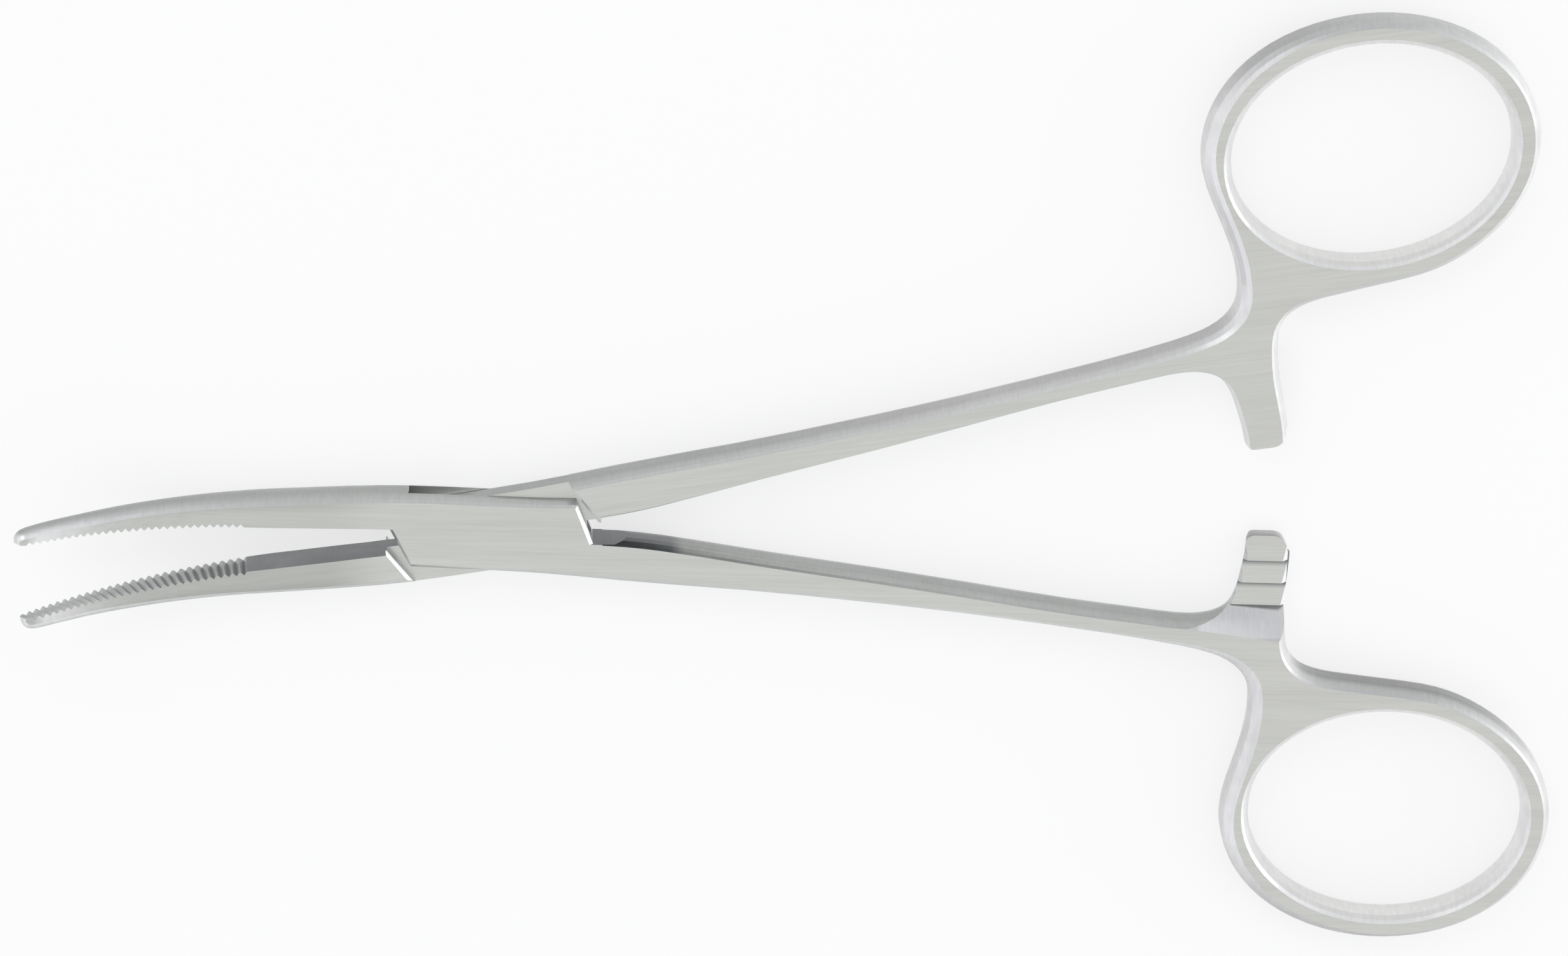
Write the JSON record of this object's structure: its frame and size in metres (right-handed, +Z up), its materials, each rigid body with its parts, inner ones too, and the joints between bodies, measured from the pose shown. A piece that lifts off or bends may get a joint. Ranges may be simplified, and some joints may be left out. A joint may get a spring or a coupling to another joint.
{
  "type": "hemostat forceps",
  "caption": "Curved ratcheted clamping forceps: two slim halves with finger rings, crossing in a box lock, with cross-serrated curved jaws.",
  "frame": {"origin": "on the pivot axis, at the flat underside of the box", "axes": "+X from the pivot towards the finger rings along the line that halves the opening, +Z up out of the plane of the rings, the way the jaws curve"},
  "size_m": [0.1389, 0.089, 0.0097],
  "materials": {
    "box_half": "satin",
    "tongue_half": "satin",
    "pivot_pin": "satin"
  },
  "bodies": {
    "box_side": {"box_half": "box_half", "pivot_pin": "pivot_pin"},
    "tongue_side": {"tongue_half": "tongue_half"}
  },
  "joints": [
    {"name": "box_lock_pivot", "type": "hinge", "parent": "box_side", "child": "tongue_side", "pos_m": [0, 0, 0.0021], "axis": [0, 0, 1], "range_deg": [-9.3, 28]}
  ]
}
